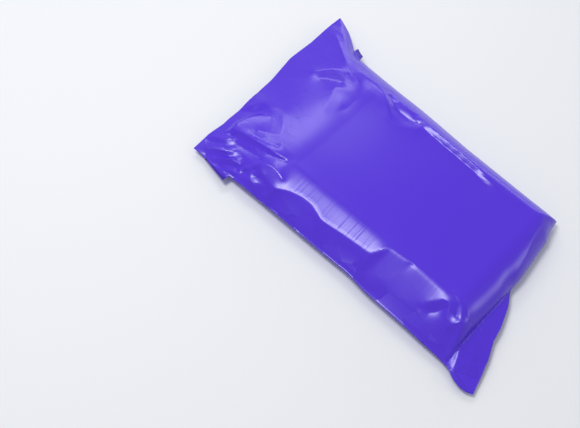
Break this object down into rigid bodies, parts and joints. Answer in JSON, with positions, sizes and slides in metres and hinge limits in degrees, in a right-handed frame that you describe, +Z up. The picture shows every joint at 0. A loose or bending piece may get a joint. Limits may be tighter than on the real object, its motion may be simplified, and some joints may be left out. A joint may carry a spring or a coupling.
{
  "type": "poly mailer bag",
  "caption": "Filled and sealed plastic mailing bag, lying flat: soft film round a folded garment, flap stuck down underneath, welded side and bottom edges.",
  "frame": {"origin": "on the ground under the middle of the bag's box", "axes": "+X from the mouth end to the bottom end, +Y from the front seam to the back seam, +Z up out of the bag's face"},
  "size_m": [0.4178, 0.2724, 0.0399],
  "materials": {
    "purple_film": "satin to glossy polyethylene film, deep purple"
  },
  "bodies": {
    "root": {"mailer_bag": "purple_film"}
  },
  "joints": []
}
